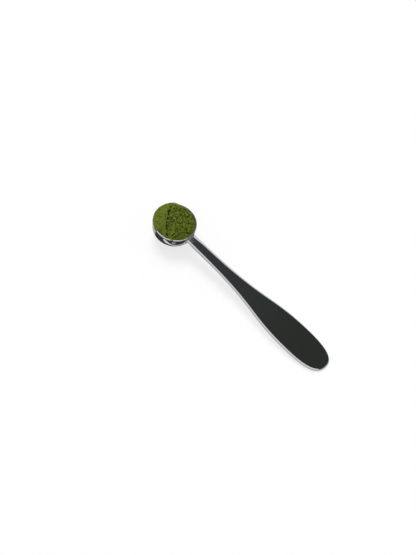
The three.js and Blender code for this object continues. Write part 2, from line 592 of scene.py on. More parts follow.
@dataclass(frozen=True)
class Scoop:
    """The drawn scoop.

    Attributes:
        diameter: Outside diameter.
        depth: Outside depth.
        straight_wall: Height of the straight wall above the round bottom.
        sheet: Thickness of the steel.
        lip_round: Radius of the corners of its flat lip.
        lip_margin: Width of the lip's first flat facet beside each corner.
        turn_steps: Facets round the scoop.
        bottom_steps: Facets down the round bottom.
        lip_steps: Facets over each corner of the lip.
        path_radius: Radius of the circle that the profile is carried round.
    """

    diameter: float = 30 * MM
    depth: float = 15.4 * MM
    straight_wall: float = 4.5 * MM
    sheet: float = 0.8 * MM
    lip_round: float = 0.1 * MM
    lip_margin: float = 0.03 * MM
    turn_steps: int = 224
    bottom_steps: int = 40
    lip_steps: int = 7
    path_radius: float = 5 * MM

    def bottom_arc(self, margin: float) -> np.ndarray:
        """Half profile of the round bottom grown by a margin, from the axis up to the straight wall.

        Args:
            margin: Distance outside the scoop's outside.

        Returns:
            Rows of radius and height.
        """
        angles = np.linspace(-math.pi / 2, 0, self.bottom_steps + 1)
        across = self.diameter / 2 + margin
        down = self.depth - self.straight_wall + margin
        arc = np.column_stack((across * np.cos(angles), down * np.sin(angles) - self.straight_wall))
        arc[0, 0] = 0.0
        return arc

    def wall_radius(self, height: float) -> float:
        """Outside radius at a height.

        Args:
            height: Height above the rim, which is negative below it.

        Returns:
            The distance of the wall's outside from the axis.
        """
        below = max(0.0, -self.straight_wall - height) / (self.depth - self.straight_wall)
        over = min(self.lip_round, max(0.0, height + self.lip_round))
        lip = self.lip_round - math.sqrt(self.lip_round ** 2 - over * over)
        return self.diameter / 2 * math.sqrt(1 - below * below) - lip

    def profile(self) -> np.ndarray:
        """Half profile from the bottom's outside over the lip to its inside.

        Returns:
            Rows of radius and height.
        """
        outside = self.diameter / 2
        inside = outside - self.sheet
        angles = np.linspace(0, math.pi / 2, self.lip_steps + 1)
        corner = np.column_stack((np.cos(angles) - 1, np.sin(angles) - 1)) * self.lip_round
        flat = self.lip_round + self.lip_margin
        return np.vstack((
            self.bottom_arc(0.0), corner + (outside, 0.0), (outside - flat, 0.0), (inside + flat, 0.0),
            (corner * (-1, 1) + (inside, 0.0))[::-1], self.bottom_arc(-self.sheet)[::-1],
        ))

    def build(self, seat: Seat, material: Material) -> Piece:
        """Turns the scoop and puts it into the scene.

        Args:
            seat: Where the spoon lies.
            material: Its finish.

        Returns:
            The scoop.
        """
        profile = self.profile()
        line = bpy.data.meshes.new("scoop_profile")
        corners = [(radius - self.path_radius, -height, 0.0) for radius, height in profile]
        line.from_pydata(corners, [(i, i + 1) for i in range(len(corners) - 1)], [])
        mesh = grown_mesh(line, turning_tree(), {
            "Path Radius": self.path_radius, "Steps": self.turn_steps, "Material": material,
        })
        mesh.name = "scoop_wall"
        tidy_mesh(mesh)
        mesh.transform(seat.matrix())
        return add_piece(mesh, material, Body.SPOON, "scoop_bowl")


def turning_tree() -> Tree:
    """Geometry nodes that carry a half profile round a circle, as a lathe does.

    Returns:
        The tree, whose inputs are the profile, the circle's radius, its steps and the finish.
    """
    tree = node_group("turned_wall", "GeometryNodeTree", {
        "Geometry": SocketKind.GEOMETRY, "Path Radius": SocketKind.NUMBER, "Steps": SocketKind.COUNT,
        "Material": SocketKind.MATERIAL,
    }, {"Geometry": SocketKind.GEOMETRY})
    given = add_node(tree, "NodeGroupInput").outputs
    path = add_node(
        tree, "GeometryNodeCurvePrimitiveCircle",
        {"Resolution": given["Steps"], "Radius": given["Path Radius"]},
    ).outputs["Curve"]
    profile = add_node(tree, "GeometryNodeMeshToCurve", {"Mesh": given["Geometry"]}).outputs["Curve"]
    wall = add_node(tree, "GeometryNodeCurveToMesh", {"Curve": path, "Profile Curve": profile})
    merged = add_node(
        tree, "GeometryNodeMergeByDistance",
        {"Geometry": wall.outputs["Mesh"], "Distance": SAME_CORNER},
    )
    end_tree(tree, merged.outputs["Geometry"], given["Material"])
    return tree


def end_tree(tree: Tree, geometry: Socket, material: Socket) -> None:
    """Ends a geometry tree with real faces that carry their finish.

    Args:
        tree: Tree to end.
        geometry: What it has made.
        material: Finish for it.
    """
    real = add_node(tree, "GeometryNodeRealizeInstances", {"Geometry": geometry})
    dressed = add_node(
        tree, "GeometryNodeSetMaterial", {"Geometry": real.outputs["Geometry"], "Material": material},
    )
    add_node(tree, "NodeGroupOutput", {0: dressed.outputs["Geometry"]})


def grown_mesh(start: Mesh, tree: Tree, values: dict[str, Any]) -> Mesh:
    """Runs a geometry tree on a mesh.

    Args:
        start: Mesh that goes in.
        tree: Geometry tree.
        values: Value of each named input.

    Returns:
        The result as a plain mesh.
    """
    helper = put_in_scene(f"{start.name}_helper", start)
    modifier = helper.modifiers.new(tree.name, "NODES")
    modifier.node_group = tree
    for item in tree.interface.items_tree:
        if item.in_out == "INPUT" and item.name in values:
            modifier[item.identifier] = values[item.name]
    graph = bpy.context.evaluated_depsgraph_get()
    mesh = bpy.data.meshes.new_from_object(helper.evaluated_get(graph), depsgraph=graph)
    helper.modifiers.remove(modifier)
    bpy.data.objects.remove(helper)
    return mesh


@dataclass(frozen=True)
class Handle:
    """The flat handle, with a narrow neck that flares into a paddle.

    Attributes:
        reach: Distance of its end from the rim's centre.
        thickness: Thickness of the blank.
        drop: Distance of its top below the rim.
        roll_width: Width of the rolled edge.
        roll_depth: Depth of the rolled edge.
        neck_width: Width at the scoop.
        paddle_width: Greatest width.
        paddle_at: Distance of the greatest width from the rim's centre.
        neck_run: How far the neck runs straight on.
        flare_run: How far the flare runs into the paddle's side.
        shoulder_run: How far the side runs on towards the end.
        tip_run: Half width over which the end runs straight across.
        dressed_width: Extra width of the rolled edge on the +Y side, where the weld was dressed.
        dressed_run: How far that extra width runs out along the neck.
        root: Distance of the buried root from the rim's centre.
        flare_steps: Stations along the flare.
        end_steps: Stations along the rounded end.
        roll_steps: Facets over each rolled edge.
        flat_steps: Facets across the flat.
        flat_margin: Width of the flat's first facet beside the rolled edge.
    """

    reach: float = 142 * MM
    thickness: float = 1.6 * MM
    drop: float = 0.3 * MM
    roll_width: float = 1.5 * MM
    roll_depth: float = 0.7 * MM
    neck_width: float = 8 * MM
    paddle_width: float = 23 * MM
    paddle_at: float = 115.7 * MM
    neck_run: float = 70.6 * MM
    flare_run: float = 38.2 * MM
    shoulder_run: float = 17.6 * MM
    tip_run: float = 8.8 * MM
    dressed_width: float = 0.9 * MM
    dressed_run: float = 12 * MM
    root: float = 14.3 * MM
    flare_steps: int = 120
    end_steps: int = 72
    roll_steps: int = 12
    flat_steps: int = 10
    flat_margin: float = 0.12 * MM

    def outline(self, wall: float) -> tuple[np.ndarray, np.ndarray]:
        """Half outline from the root to the end, on the +Y side.

        Args:
            wall: Distance of the scoop's wall from the rim's centre, where the flare starts.

        Returns:
            The outline's points, and at each the direction that points out of the handle.
        """
        neck = self.neck_width / 2
        paddle = self.paddle_width / 2
        flare = interpolate_bezier(
            (wall, neck), (wall + self.neck_run, neck),
            (self.paddle_at - self.flare_run, paddle), (self.paddle_at, paddle), self.flare_steps,
        )
        end = interpolate_bezier(
            (self.paddle_at, paddle), (self.paddle_at + self.shoulder_run, paddle),
            (self.reach, self.tip_run), (self.reach, 0.0), self.end_steps,
        )
        points = np.array([(self.root, neck), *(p[:2] for p in flare), *(p[:2] for p in end[1:])])
        along = np.gradient(points, axis=0)
        out = np.column_stack((-along[:, 1], along[:, 0]))
        out /= np.linalg.norm(out, axis=1)[:, None]
        out[0] = (0.0, 1.0)
        out[-1] = (1.0, 0.0)
        return points, out

    def edge_section(self) -> np.ndarray:
        """Section over one rolled edge, from the flat of the top to that of the underside.

        Returns:
            Rows of inset from the outline and height.
        """
        angles = np.linspace(0, math.pi / 2, self.roll_steps + 1)
        inset = self.roll_width * (1 - np.sin(angles))
        fall = self.roll_depth * (1 - np.cos(angles))
        top = np.column_stack((inset, -self.drop - fall))
        bottom = np.column_stack((inset, -self.drop - self.thickness + fall))[::-1]
        rim = self.roll_width + self.flat_margin
        return np.vstack(((rim, -self.drop), top, bottom, (rim, -self.drop - self.thickness)))

    def build(self, scoop: Scoop, seat: Seat, material: Material) -> Piece:
        """Lofts the handle and puts it into the scene.

        Args:
            scoop: The scoop that it is welded to.
            seat: Where the spoon lies.
            material: Its finish.

        Returns:
            The handle.
        """
        wall = scoop.diameter / 2
        points, out = self.outline(wall)
        section = self.edge_section()
        shares = np.linspace(0, 1, self.flat_steps + 1)[1:-1]
        rings = []
        for point, heading in zip(points, out):
            dressed = 1 - fade(point[0], wall, wall + self.dressed_run)
            grown = 1 + dressed * self.dressed_width / self.roll_width
            side = [(*(point - heading * inset * grown), height) for inset, height in section]
            plain = [(*(point - heading * inset), height) for inset, height in section]
            other = [(x, -y, z) for x, y, z in reversed(plain)]
            bottom = [lerp(np.array(side[-1]), np.array(other[0]), share) for share in shares]
            top = [lerp(np.array(other[-1]), np.array(side[0]), share) for share in shares]
            rings.append([*side, *bottom, *other, *top])
        count = len(rings[0])
        faces = grid_faces(len(rings), count, steps_close=True)
        faces.append(tuple(range(count)))
        mesh = closed_mesh("handle_blade", rings, faces)
        mesh.transform(seat.matrix())
        return add_piece(mesh, material, Body.SPOON, "handle")


@dataclass(frozen=True)
class Weld:
    """The weld that blends the handle's root into the scoop's wall.

    Attributes:
        leg: Length of its legs under the handle.
        side_leg: Length of its legs beside the handle.
        top_run: How far it runs out over the handle's top.
        top_rise: How far it rises there, up to the scoop's lip.
        bite: Depth that it is sunk into both pieces.
        corner_steps: Facets round each corner of the neck.
        side_steps: Facets along each flat of the neck.
        fillet_steps: Facets across the fillet.
    """

    leg: float = 2.3 * MM
    side_leg: float = 0.35 * MM
    top_run: float = 1.25 * MM
    top_rise: float = 0.2 * MM
    bite: float = 0.15 * MM
    corner_steps: int = 14
    side_steps: int = 8
    fillet_steps: int = 12

    def neck_section(self, handle: Handle) -> list[tuple[Vector, Vector]]:
        """Places round the neck's section and the directions out of it, across Y and Z.

        Args:
            handle: The handle whose neck is welded.

        Returns:
            Pairs of place and direction, in order round the neck.
        """
        half = Vector((
            handle.neck_width / 2 - handle.roll_width, handle.thickness / 2 - handle.roll_depth,
        ))
        middle = Vector((0.0, -handle.drop - handle.thickness / 2))
        roll = Vector((handle.roll_width, handle.roll_depth))
        found = []
        for quarter in range(4):
            side = Vector(((1, -1, -1, 1)[quarter], (1, 1, -1, -1)[quarter]))
            centre = middle + half * side
            for step in range(self.corner_steps + 1):
                angle = (quarter + step / self.corner_steps) * math.pi / 2
                ray = Vector((math.cos(angle), math.sin(angle)))
                out = Vector((ray.x / roll.x, ray.y / roll.y)).normalized()
                found.append((centre + ray * roll, out))
            found.extend(self.flat_places(found[-1], middle, quarter))
        return found

    def flat_places(
        self, last: tuple[Vector, Vector], middle: Vector, quarter: int,
    ) -> list[tuple[Vector, Vector]]:
        """Places along the flat that follows a corner of the neck.

        Args:
            last: The corner's last place and its direction.
            middle: Middle of the neck's section.
            quarter: Number of the corner.

        Returns:
            Pairs of place and direction along the flat.
        """
        place, out = last
        mirror = Vector((-1, 1)) if quarter % 2 == 0 else Vector((1, -1))
        after = middle + (place - middle) * mirror
        shares = [step / self.side_steps for step in range(1, self.side_steps)]
        return [(place.lerp(after, share), out) for share in shares]

    def build(self, scoop: Scoop, handle: Handle, seat: Seat, material: Material) -> Piece:
        """Sweeps the fillet round the neck and puts it into the scene.

        Args:
            scoop: The scoop.
            handle: The handle.
            seat: Where the spoon lies.
            material: Its finish.

        Returns:
            The weld.
        """
        rings = []
        for place, out in self.neck_section(handle):
            rise = lerp(self.side_leg, self.top_rise if out.y > 0 else self.leg, abs(out.y))
            run = lerp(self.side_leg, self.top_run if out.y > 0 else self.leg, abs(out.y))
            ring = [(-self.bite, -self.bite)]
            for step in range(self.fillet_steps + 1):
                angle = step / self.fillet_steps * math.pi / 2
                ring.append((rise * (1 - math.sin(angle)), run * (1 - math.cos(angle))))
            rings.append([self.on_wall(scoop, place + out * off, ahead) for off, ahead in ring])
        faces = grid_faces(len(rings), len(rings[0]), rows_close=True, steps_close=True)
        mesh = closed_mesh("weld_fillet", rings, faces)
        mesh.transform(seat.matrix())
        return add_piece(mesh, material, Body.SPOON, "weld_seam")

    def on_wall(self, scoop: Scoop, place: Vector, ahead: float) -> tuple[float, float, float]:
        """The point at a place across Y and Z that lies a distance ahead of the scoop's wall."""
        wall = scoop.wall_radius(place.y)
        return (math.sqrt(wall * wall - place.x * place.x) + ahead, place.x, place.y)


@dataclass(frozen=True)
class Waves:
    """Smooth unevenness.

    Attributes:
        length: Length of its waves.
        rise: How far they rise and fall.
        start: Where its pattern starts, so that equal waves differ.
    """

    length: float
    rise: float
    start: float = 0.0

    def at(self, spot: Vector) -> float:
        """The rise or fall at a place."""
        return self.rise * noise.noise(spot / self.length + Vector((0.0, 0.0, self.start)))


@dataclass(frozen=True)
class Flake:
    """A flat flake of pressed powder that lies on the crumbs.

    Attributes:
        middle: Its middle, about the rim's centre.
        length: Its length.
        width: Its width.
        turn: Heading of its length.
    """

    middle: tuple[float, float]
    length: float
    width: float
    turn: float

    def share(self, spot: Vector, border: float, edge: float) -> float:
        """How far a place is on the flake.

        Args:
            spot: The place.
            border: Width that the flake is grown by.
            edge: Width over which its edge falls off.

        Returns:
            A share from 0 beside it to 1 on it.
        """
        off = Matrix.Rotation(-self.turn, 2) @ (spot.to_2d() - Vector(self.middle))
        over_length = abs(off.x) - self.length / 2 - border
        over_width = abs(off.y) - self.width / 2 - border
        return (1 - fade(over_length, -edge, 0.0)) * (1 - fade(over_width, -edge, 0.0))


@dataclass(frozen=True)
class Clumps:
    """Clumps of powder packed side by side.

    Attributes:
        size: Distance from one to the next.
        rise: Height of the tallest.
        evenness: Height of the lowest, as a share of the tallest.
        gap_depth: Depth of the gaps where they stand open.
        gap_width: Width of the gaps, as a share of the size.
        opening: Waves that say where gaps stand open.
        shade: Strength of the painted shade in open gaps, as a share of the way to the painted shade's
            colour.
    """

    size: float
    rise: float
    evenness: float
    gap_depth: float
    gap_width: float
    opening: Waves
    shade: float

    def at(self, spot: Vector) -> tuple[float, float]:
        """The clump at a place.

        Args:
            spot: The place.

        Returns:
            Its height, and how deep in an open gap the place is, from 0 to 1.
        """
        distances, centres = noise.voronoi(spot / self.size)
        dome = math.sqrt(max(0.0, 1 - distances[0] ** 2))
        tall = lerp(self.evenness, 1.0, noise.cell(centres[0] * CLUMP_SPREAD))
        closeness = 1 - fade(distances[1] - distances[0], 0.0, self.gap_width)
        gap = closeness * fade(self.opening.at(spot), 0.0, self.opening.rise / 2)
        return self.rise * dome * tall - self.gap_depth * gap, gap


class Gap(NamedTuple):
    """A gap in the crack: where it starts and ends about the rim's centre, and its size as a share."""

    start: tuple[float, float]
    end: tuple[float, float]
    size: float


class Sample(NamedTuple):
    """A place on the heap's skin.

    Attributes:
        radius: Distance from the rim's axis.
        height: Height above the rim.
        hollow: How much painted shade darkens it, from 0 to 1.
        loose: How thickly crumbs lie on it, from 0 to 1.
    """

    radius: float
    height: float
    hollow: float = 0.0
    loose: float = 0.0


@dataclass(frozen=True)
class Powder:
    """One heaped serving: pressed level over the rim on one side, and crumbled past a broken crack.

    Attributes:
        clearance: Gap to the scoop's inside and to its lip.
        crest: Height of the heap's middle above the rim.
        fullness: How flat the heap's top is before it falls to its edge.
        slab_edge: Height of the pressed side where it crosses the rim.
        slab_start: Headings over which the pressed side comes up over the rim.
        slab_end: Headings over which it goes down inside the rim again.
        slab_relief: Unevenness of the pressed side, as a share of the crumbs' unevenness.
        slab_shade: How far the whole pressed side is darkened evenly, as a share of the way to the painted
            shade's colour.
        slab_loose: How thickly crumbs lie on the pressed side, as a share of their thickness beyond it.
        overhang: Radius that the pressed side reaches to.
        overhang_from: Height above the rim from which the edge starts to reach out over it.
        edge_depth: Thickness of the heap's edge.
        edge_face: Height of the edge's outer face, as a share of that thickness.
        edge_tuck: How far the edge's underside is drawn in, as a share of its reach over the rim.
        crumb_edge: Height of the crumbs at the wall.
        spill_heading: Direction of a small spill over the rim.
        spill_span: Half angle of that spill.
        spill_height: Height of that spill above the crumbs' edge.
        ragged: Unevenness of the edge over the rim.
        crack_heading: Direction from the pressed side across the crack.
        crack_offset: Distance of the crack from the middle.
        crack_blend: Half width over which the two sides run into each other.
        crack_step: Height of the pressed side above the crumbs at the crack.
        crack_run: Where that step starts and where it is full, along the crack.
        crack_bends: Bends of the crack and of its gaps.
        gaps: Gaps in the crack.
        gap_depth: Depth of those gaps.
        gap_width: Half width of those gaps.
        gap_floor: Half width of their floor, as a share of gap_width.
        gap_bend: How far they follow the crack's bends, as a share.
        gap_shade: Strength of the painted shade in those gaps, as a share of the way to the painted shade's
            colour.
        rolls: Broad unevenness of the whole heap.
        clumps: Clumps that the crumbs stick together in, from coarse to fine.
        flakes: Flakes on the crumbs.
        flake_height: Height of those flakes.
        flake_edge: Width over which a flake's edge falls off.
        flake_cover: Share of the clumps' unevenness that a flake hides.
        flake_level: Share of the broad unevenness that a flake hides.
        painted_shadow_width: Width of the painted shadow round a flake.
        painted_shadow_edge: Width over which that painted shadow fades away.
        painted_shadow_strength: How dark that painted shadow is, as a share of the way to the painted
            shade's colour.
        calm_from: Share of the way to the edge where unevenness and crumbs start to die away.
        edge_calm: Share of the unevenness that is gone at the edge.
        bare_from: Share of the way to the edge beyond which no crumbs lie.
        turn_steps: Facets round the heap.
        ring_steps: Facets from the middle to the edge.
        wall_steps: Facets down the buried wall.
    """

    clearance: float = 0.05 * MM
    crest: float = 2.45 * MM
    fullness: float = 3.4
    slab_edge: float = 0.85 * MM
    slab_start: tuple[float, float] = (math.radians(60), math.radians(146))
    slab_end: tuple[float, float] = (math.radians(255), math.radians(267))
    slab_relief: float = 0.24
    slab_shade: float = 0.15
    slab_loose: float = 0.12
    overhang: float = 15.3 * MM
    overhang_from: float = 0.1 * MM
    edge_depth: float = 0.2 * MM
    edge_face: float = 0.6
    edge_tuck: float = 0.2
    crumb_edge: float = -1.3 * MM
    spill_heading: float = math.radians(-53)
    spill_span: float = math.radians(12)
    spill_height: float = 2.2 * MM
    ragged: Waves = Waves(2.1 * MM, 0.2 * MM)
    crack_heading: float = math.radians(38)
    crack_offset: float = 5.15 * MM
    crack_blend: float = 1.3 * MM
    crack_step: float = 0.55 * MM
    crack_run: tuple[float, float] = (-8 * MM, 2 * MM)
    crack_bends: tuple[Waves, ...] = (
        Waves(2.8 * MM, 0.8 * MM), Waves(0.95 * MM, 0.7 * MM), Waves(0.5 * MM, 0.4 * MM),
    )
    gaps: tuple[Gap, ...] = (
        Gap((-10.1 * MM, 5.0 * MM), (-10.0 * MM, 4.8 * MM), 0.65),
        Gap((-8.6 * MM, 3.3 * MM), (-8.0 * MM, 1.2 * MM), 1.0),
        Gap((-7.9 * MM, 1.0 * MM), (-6.4 * MM, -0.7 * MM), 1.1),
        Gap((-4.9 * MM, -2.2 * MM), (-4.3 * MM, -3.6 * MM), 1.0),
        Gap((-2.8 * MM, -5.2 * MM), (-2.6 * MM, -6.2 * MM), 0.85),
        Gap((-0.9 * MM, -7.0 * MM), (0.1 * MM, -8.6 * MM), 0.95),
    )
    gap_depth: float = 1.5 * MM
    gap_width: float = 0.68 * MM
    gap_floor: float = 0.2
    gap_bend: float = 0.5
    gap_shade: float = 0.85
    rolls: tuple[Waves, ...] = (Waves(4.3 * MM, 0.42 * MM), Waves(1.9 * MM, 0.3 * MM, 5.0))
    clumps: tuple[Clumps, ...] = (
        Clumps(
            size=1.75 * MM, rise=0.7 * MM, evenness=0.25, gap_depth=0.8 * MM, gap_width=0.3,
            opening=Waves(2.0 * MM, 1.0, 2.0), shade=0.6,
        ),
        Clumps(
            size=0.85 * MM, rise=0.42 * MM, evenness=0.2, gap_depth=0.35 * MM, gap_width=0.4,
            opening=Waves(1.5 * MM, 1.0, 8.0), shade=0.4,
        ),
    )
    flakes: tuple[Flake, ...] = (
        Flake(middle=(1.1 * MM, 9.7 * MM), length=3.4 * MM, width=1.8 * MM, turn=math.radians(3)),
        Flake(middle=(1.2 * MM, 12.0 * MM), length=2.9 * MM, width=1.1 * MM, turn=math.radians(-8)),
    )
    flake_height: float = 0.55 * MM
    flake_edge: float = 0.3 * MM
    flake_cover: float = 0.75
    flake_level: float = 0.5
    painted_shadow_width: float = 0.6 * MM
    painted_shadow_edge: float = 0.5 * MM
    painted_shadow_strength: float = 0.35
    calm_from: float = 0.86
    edge_calm: float = 0.8
    bare_from: float = 0.97
    turn_steps: int = 480
    ring_steps: int = 120
    wall_steps: int = 4

    def slab_share(self, angle: float) -> float:
        """How far the powder covers the rim at an angle, from 0 to 1."""
        return fade(angle, *self.slab_start) * (1 - fade(angle, *self.slab_end))

    def spill_share(self, angle: float) -> float:
        """Strength of the small spill at an angle, from 0 to 1."""
        return 1 - fade(turn_between(angle, self.spill_heading), 0.0, self.spill_span)

    def edge_height(self, angle: float) -> float:
        """Height of the heap where it meets the scoop's wall or the rim."""
        edge = lerp(self.crumb_edge, self.slab_edge, self.slab_share(angle))
        return edge + self.spill_height * self.spill_share(angle)

    def reach(self, angle: float, inner: float) -> float:
        """Radius of the heap's edge.

        Args:
            angle: Heading of the place on the edge.
            inner: Radius that the powder fills inside the scoop.

        Returns:
            The radius, which is larger than inner where the powder reaches out over the rim.
        """
        over = fade(self.edge_height(angle), self.overhang_from, self.slab_edge)
        spot = Vector((math.cos(angle), math.sin(angle), 0.0)) * inner
        return lerp(inner, self.overhang + self.ragged.at(spot), over)

    def crumbled(self, spot: Vector) -> tuple[float, float]:
        """Which side of the crack a place is on.

        Args:
            spot: The place in the rim's plane.

        Returns:
            A share from 0 on the pressed side to 1 on the crumbs, and the height of the step there.
        """
        turned = Matrix.Rotation(-self.crack_heading, 2) @ spot.to_2d()
        across = turned.x + self.crack_offset + sum(waves.at(spot) for waves in self.crack_bends)
        share = fade(across, -self.crack_blend, self.crack_blend)
        return share, self.crack_step * (1 - share) * fade(turned.y, *self.crack_run)

    def gap_share(self, spot: Vector) -> float:
        """How deep in a gap of the crack a place is.

        Args:
            spot: The place in the rim's plane.

        Returns:
            A share from 0 beside the gaps to 1 on the floor of one.
        """
        bend = self.gap_bend * sum(waves.at(spot) for waves in self.crack_bends)
        bent = spot + Vector((bend, bend, 0.0))
        nearest = math.inf
        for gap in self.gaps:
            start, end = Vector((*gap.start, 0.0)), Vector((*gap.end, 0.0))
            share = intersect_point_line(bent, start, end)[1]
            place = start.lerp(end, min(1.0, max(0.0, share)))
            nearest = min(nearest, (bent - place).length / gap.size)
        return 1 - fade(nearest, self.gap_floor * self.gap_width, self.gap_width)

    def top(self, angle: float, radius: float, reach: float) -> Sample:
        """The heap's top at a place.

        Args:
            angle: Heading of the place.
            radius: Its distance from the middle.
            reach: Radius of the heap's edge there.

        Returns:
            The place on the heap's skin.
        """
        spot = Vector((radius * math.cos(angle), radius * math.sin(angle), 0.0))
        out = radius / reach
        crumbled, step = self.crumbled(spot)
        base = lerp(self.edge_height(angle), self.crest + step, 1 - out ** self.fullness)
        flake = max(one.share(spot, 0.0, self.flake_edge) for one in self.flakes)
        # Painted shadow in a band round each flake
        border = max(one.share(spot, self.painted_shadow_width, self.painted_shadow_edge) for one in self.flakes)
        gap = self.gap_share(spot)
        unevenness = lerp(self.slab_relief, 1.0, crumbled) * (1 - self.flake_cover * flake)
        unevenness *= 1 - self.edge_calm * fade(out, self.calm_from, 1.0)
        heights, openings = zip(*(clumps.at(spot) for clumps in self.clumps))
        relief = sum(heights) - sum(clumps.rise for clumps in self.clumps) / 2
        rolling = sum(waves.at(spot) for waves in self.rolls) * (1 - self.flake_level * flake)
        relief = relief * unevenness + rolling
        height = base + relief + self.flake_height * flake - self.gap_depth * gap
        # Painted shade in the crack's gaps, in open gaps between clumps and in a band round each flake, and
        # an even darkening of the pressed side
        opened = sum(clumps.shade * share for clumps, share in zip(self.clumps, openings))
        hollow = (
            self.slab_shade * (1 - crumbled) + self.gap_shade * gap + unevenness * opened
            + self.painted_shadow_strength * (border * (1 - flake))
        )
        bare = fade(out, self.calm_from, self.bare_from)
        loose = lerp(self.slab_loose, 1.0, crumbled) * (1 - gap) * (1 - flake) * (1 - bare)
        return Sample(radius, height, min(1.0, hollow), loose)

    def heap_mesh(self, scoop: Scoop, seat: Seat) -> Mesh:
        """Builds the heap with its buried underside.

        Args:
            scoop: The scoop that holds it.
            seat: Where the spoon lies.

        Returns:
            The closed mesh, with the attributes for painted shade and loose crumbs.
        """
        inner = scoop.diameter / 2 - scoop.sheet - self.clearance
        bottom = scoop.bottom_arc(-scoop.sheet - self.clearance)[::-1]
        rows = []
        for turn in range(self.turn_steps):
            angle = 2 * math.pi * turn / self.turn_steps
            reach = self.reach(angle, inner)
            shares = [ring / self.ring_steps for ring in range(self.ring_steps + 1)]
            row = [self.top(angle, reach * share, reach) for share in shares]
            edge = row[-1].height
            under = edge - self.edge_depth
            if reach > inner:
                under = min(under, self.clearance)
            row.append(Sample(reach, lerp(edge, under, self.edge_face)))
            row.append(Sample(lerp(reach, inner, self.edge_tuck), under))
            for share in np.linspace(0, 1, self.wall_steps + 1):
                row.append(Sample(inner, lerp(under - self.clearance, bottom[0, 1], share)))
            row.extend(Sample(radius, height) for radius, height in bottom[1:])
            rows.append(row)
        return self.skinned(rows, seat)

    def skinned(self, rows: list[list[Sample]], seat: Seat) -> Mesh:
        """Skins rows of places round the heap.

        Args:
            rows: For each step round the heap, places from its crest over its edge to its bottom.
            seat: Where the spoon lies.

        Returns:
            The mesh with its attributes.
        """
        places = np.array(rows)
        angles = np.linspace(0, 2 * math.pi, len(rows), endpoint=False)[:, None]
        radii, heights, hollow, loose = np.moveaxis(places, 2, 0)
        corners = np.stack((radii * np.cos(angles), radii * np.sin(angles), heights), axis=2)
        faces = grid_faces(len(rows), len(rows[0]), rows_close=True)
        mesh = plain_mesh("powder_heap", corners.reshape(-1, 3), faces)
        store(mesh, PAINTED_SHADE, hollow)
        store(mesh, LOOSE, loose)
        tidy_mesh(mesh)
        mesh.transform(seat.matrix())
        return mesh

    def build(self, scoop: Scoop, seat: Seat, material: Material) -> list[Piece]:
        """Heaps the powder, strews crumbs over it and puts both into the scene.

        Args:
            scoop: The scoop that holds it.
            seat: Where the spoon lies.
            material: Its finish.

        Returns:
            The heap, and the crumbs of each size.
        """
        mesh = self.heap_mesh(scoop, seat)
        pieces = [add_piece(mesh, material, Body.SERVING, "matcha_powder")]
        tree = crumb_tree()
        for crumbs in Crumbs:
            strewn = grown_mesh(mesh.copy(), tree, {**crumbs.value, "Material": material})
            strewn.name = f"powder_{crumbs.name.lower()}_crumbs"
            tidy_mesh(strewn)
            pieces.append(add_piece(strewn, material, Body.SERVING))
        return pieces


class Crumbs(Enum):
    """Loose crumbs on the heap, by size: inputs of the tree that strews them."""

    COARSE = {"Density": 1.3e5, "Smallest": 0.3 * MM, "Largest": 0.62 * MM, "Facets": 2, "Seed": 11}
    FINE = {"Density": 1.7e6, "Smallest": 0.09 * MM, "Largest": 0.26 * MM, "Facets": 1, "Seed": 4}


def crumb_tree() -> Tree:
    """Geometry nodes that strew uneven crumbs over a heap, thickest where its loose attribute is high.

    Returns:
        The tree, whose inputs are the heap, density, sizes, facets, seed and finish.
    """
    tree = node_group("strewn_crumbs", "GeometryNodeTree", {
        "Geometry": SocketKind.GEOMETRY, "Density": SocketKind.NUMBER, "Smallest": SocketKind.NUMBER,
        "Largest": SocketKind.NUMBER, "Facets": SocketKind.COUNT, "Seed": SocketKind.COUNT,
        "Material": SocketKind.MATERIAL,
    }, {"Geometry": SocketKind.GEOMETRY})
    given = add_node(tree, "NodeGroupInput").outputs
    loose = add_node(tree, "GeometryNodeInputNamedAttribute", {"Name": LOOSE}, data_type="FLOAT")
    density = maths(tree, "MULTIPLY", loose.outputs[0], given["Density"])
    places = add_node(
        tree, "GeometryNodeDistributePointsOnFaces",
        {"Mesh": given["Geometry"], "Density": density, "Seed": given["Seed"]},
    ).outputs["Points"]
    ball = add_node(
        tree, "GeometryNodeMeshIcoSphere", {"Radius": 1.0, "Subdivisions": given["Facets"]},
    ).outputs["Mesh"]
    lumps = add_node(
        tree, "ShaderNodeTexNoise", {"Scale": LUMP_FINENESS, "Detail": LUMP_DETAIL}, noise_dimensions="3D",
    ).outputs["Color"]
    push = add_node(
        tree, "ShaderNodeVectorMath", {0: lumps, 1: LUMP_MIDDLE}, operation="SUBTRACT",
    ).outputs[0]
    crumb = add_node(tree, "GeometryNodeSetPosition", {"Geometry": ball, "Offset": push}).outputs["Geometry"]
    turn = add_node(
        tree, "FunctionNodeRandomValue",
        {"Max": (math.tau, math.tau, math.tau), "Seed": given["Seed"]}, data_type="FLOAT_VECTOR",
    ).outputs["Value"]
    size = add_node(
        tree, "FunctionNodeRandomValue",
        {"Min": given["Smallest"], "Max": given["Largest"], "Seed": given["Seed"]}, data_type="FLOAT_VECTOR",
    ).outputs["Value"]
    strewn = add_node(
        tree, "GeometryNodeInstanceOnPoints",
        {"Points": places, "Instance": crumb, "Rotation": turn, "Scale": size},
    )
    end_tree(tree, strewn.outputs["Instances"], given["Material"])
    return tree


